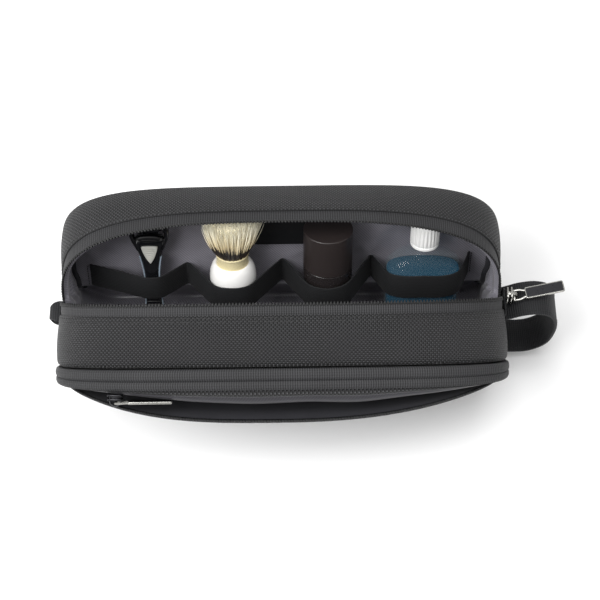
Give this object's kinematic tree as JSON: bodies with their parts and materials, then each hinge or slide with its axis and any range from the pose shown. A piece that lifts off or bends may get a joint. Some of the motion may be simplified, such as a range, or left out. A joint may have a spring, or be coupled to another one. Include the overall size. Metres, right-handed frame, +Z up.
{
  "type": "shaving kit bag",
  "caption": "Soft zip-top wash bag standing open, its halves leaning apart, with an unzipped outer pocket, a side carry loop and strapped razor, brush, can and bottle.",
  "frame": {"origin": "centre of the flat underside, midway between the two panels and the two ends of the bag", "axes": "+Z up; +X across the bag toward the carry loop; -Y toward the outer pocket; both halves hinge about X through the zip ends"},
  "size_m": [0.3178, 0.1441, 0.1239],
  "materials": {
    "woven_fabric": "woven synthetic, dark grey",
    "panel_fabric": "woven synthetic, dark grey",
    "zip_tape": "ribbed zip tape, grey",
    "zip_coil": "moulded coil, near black",
    "lining": "satin lining, grey",
    "binding": "bias binding, black",
    "foam": "polyethylene foam, grey",
    "board": "sheet, black",
    "webbing": "webbing, black",
    "elastic": "knitted elastic, black",
    "label": "plain coated patch, black",
    "nickel": "nickel plated, satin",
    "gunmetal": "dark nickel, satin",
    "razor_black": "moulded, black",
    "razor_silver": "metallised plastic",
    "blade": "ground steel",
    "white_enamel": "moulded, glossy white",
    "ferrule": "cast resin, cream",
    "bristle": "bristle with a dark band",
    "can_enamel": "lacquered, dark brown",
    "can_cap": "moulded, dark brown",
    "button_white": "moulded, white",
    "clear_bottle": "clear moulded bottle",
    "liquid": "teal blue liquid",
    "cap_white": "moulded, ribbed, white"
  },
  "bodies": {
    "base": {"base_gusset": "woven_fabric", "base_front_wall": "woven_fabric", "base_back_wall": "woven_fabric", "base_foam": "foam", "base_wall_foam": "foam", "base_board": "board", "base_lining": "lining", "carry_loop": "webbing", "loop_patch": "webbing", "zip_end_tab": "webbing", "main_slider": "nickel"},
    "front_half": {"front_gusset": "woven_fabric", "front_gusset_lining": "lining", "front_zip_tape": "zip_tape", "front_zip_coil": "zip_coil", "front_panel": "panel_fabric", "front_foam": "foam", "front_lining": "lining", "front_seam_binding": "binding", "pocket_band": "zip_tape", "pocket_band_coil": "zip_coil", "pocket_foot_strip": "binding"},
    "back_half": {"back_gusset": "woven_fabric", "back_gusset_lining": "lining", "back_zip_tape": "zip_tape", "back_zip_coil": "zip_coil", "back_panel": "panel_fabric", "back_foam": "foam", "back_lining": "lining", "back_seam_binding": "binding", "elastic_strap": "elastic", "label_patch": "label", "razor_handle": "razor_black", "brush_handle": "white_enamel", "brush_ferrule": "ferrule", "brush_bristles": "bristle", "can_body": "can_enamel", "bottle_body": "clear_bottle", "bottle_liquid": "liquid"},
    "pocket_flap": {"pocket_flap": "panel_fabric", "pocket_flap_lining": "lining", "pocket_flap_coil": "zip_coil"},
    "pocket_slider": {"pocket_slider": "gunmetal"},
    "pocket_puller": {"pocket_puller": "nickel"},
    "main_puller": {"main_puller": "nickel"},
    "razor_button": {"razor_button": "razor_silver"},
    "razor_head": {"razor_head": "razor_black", "razor_blades": "blade"},
    "can_cap": {"can_cap": "can_cap"},
    "can_button": {"can_button": "button_white"},
    "bottle_cap": {"bottle_cap": "cap_white"}
  },
  "joints": [
    {"name": "front_half_hinge", "type": "hinge", "parent": "base", "child": "front_half", "pos_m": [0, 0, 0.07], "axis": [1, 0, 0], "range_deg": [-26, 0]},
    {"name": "back_half_hinge", "type": "hinge", "parent": "base", "child": "back_half", "pos_m": [0, 0, 0.07], "axis": [1, 0, 0], "range_deg": [0, 26]},
    {"name": "pocket_flap_hinge", "type": "hinge", "parent": "front_half", "child": "pocket_flap", "pos_m": [0, -0.03161, 0.039], "axis": [1, 0, 0], "range_deg": [-18, 0]},
    {"name": "pocket_slider_run", "type": "slide", "parent": "front_half", "child": "pocket_slider", "axis": [1, 0, 0], "range_m": [0, 0.192]},
    {"name": "pocket_puller_swing", "type": "hinge", "parent": "pocket_slider", "child": "pocket_puller", "pos_m": [-0.097, -0.07553, 0.09442], "axis": [0, -0.5381, 0.8429], "range_deg": [-170, 0]},
    {"name": "main_puller_swing", "type": "hinge", "parent": "base", "child": "main_puller", "pos_m": [0.1438, 0, 0.0696], "axis": [0, 1, 0], "range_deg": [-85, 0]},
    {"name": "razor_button_push", "type": "slide", "parent": "back_half", "child": "razor_button", "axis": [0, 0.4384, 0.8988], "range_m": [0, 0.0025], "stiffness_N_per_m": 200, "springref_m": -0.0005},
    {"name": "razor_head_pivot", "type": "hinge", "parent": "back_half", "child": "razor_head", "pos_m": [-0.081, 0.03779, 0.09273], "axis": [1, 0, 0], "range_deg": [-20, 20], "stiffness_Nm_per_rad": 0.05},
    {"name": "can_cap_lift", "type": "slide", "parent": "back_half", "child": "can_cap", "axis": [0, 0.4384, 0.8988], "range_m": [0, 0.015]},
    {"name": "can_button_press", "type": "slide", "parent": "back_half", "child": "can_button", "axis": [0, 0.4384, 0.8988], "range_m": [-0.0025, 0], "stiffness_N_per_m": 600, "springref_m": 0.001},
    {"name": "bottle_cap_turn", "type": "hinge", "parent": "back_half", "child": "bottle_cap", "pos_m": [0.0885, 0.03296, 0.09287], "axis": [0, 0.4384, 0.8988], "continuous": true}
  ],
  "couplings": [
    {"joint": "pocket_slider_run", "follows": "pocket_flap_hinge", "m_per_rad": -0.61109}
  ]
}
